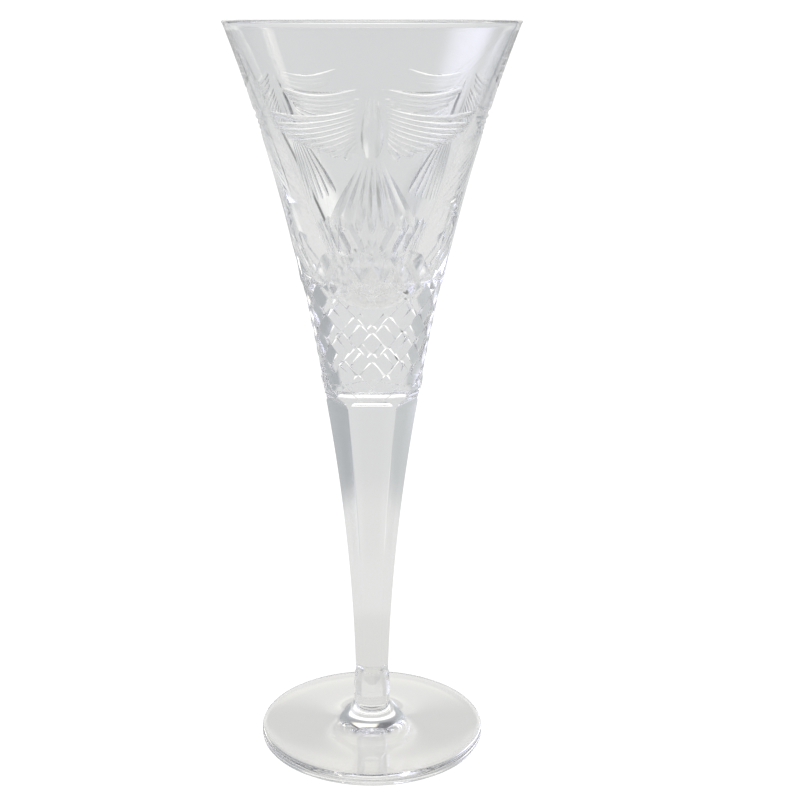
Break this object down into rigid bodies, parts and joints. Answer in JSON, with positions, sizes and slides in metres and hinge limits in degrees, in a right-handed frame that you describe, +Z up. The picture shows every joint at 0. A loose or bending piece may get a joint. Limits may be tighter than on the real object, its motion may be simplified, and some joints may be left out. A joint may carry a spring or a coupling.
{
  "type": "champagne flute",
  "caption": "Tall cut-crystal toasting flute: trumpet bowl with diamond, fan and swag cuts, six-sided tapering stem, short collar and thin round foot.",
  "frame": {"origin": "centre of the resting face under the foot", "axes": "+Z up the glass from foot to rim; -Y is the front, where one stem flat and one olive cut face"},
  "size_m": [0.09, 0.09, 0.235],
  "materials": {
    "crystal": "clear lead crystal, fire polished, wheel cuts acid polished"
  },
  "bodies": {
    "root": {"bowl": "crystal", "stem": "crystal", "collar": "crystal", "foot": "crystal"}
  },
  "joints": []
}
